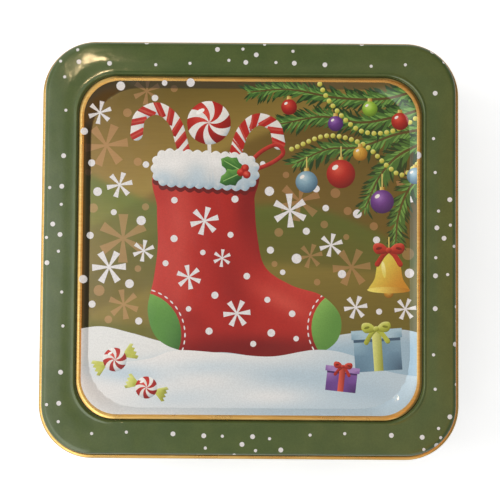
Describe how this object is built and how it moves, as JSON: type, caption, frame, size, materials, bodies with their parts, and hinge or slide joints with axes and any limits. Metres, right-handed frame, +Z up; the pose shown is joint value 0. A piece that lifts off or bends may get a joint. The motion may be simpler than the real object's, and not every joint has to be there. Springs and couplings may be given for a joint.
{
  "type": "christmas candy tin",
  "caption": "Square printed tin with rounded corners and a lift-off slip lid, raised beaded frame, rolled rims and a crimped bottom seam.",
  "frame": {"origin": "on the table under the middle of the closed tin", "axes": "+Z up, the way the lid lifts; +Y towards the back, where the body's folded side seam is; +X to the right of the picture"},
  "size_m": [0.1534, 0.1534, 0.049],
  "materials": {
    "green_lacquer": "glossy translucent lacquer and print over tinplate",
    "gold_lacquer": "glossy gold lacquer over tinplate"
  },
  "bodies": {
    "tin": {"body_wall": "green_lacquer", "bottom_panel": "gold_lacquer"},
    "lid": {"lid": "green_lacquer"}
  },
  "joints": [
    {"name": "lid_lift", "type": "slide", "parent": "tin", "child": "lid", "axis": [0, 0, 1], "range_m": [0, 0.08]}
  ]
}
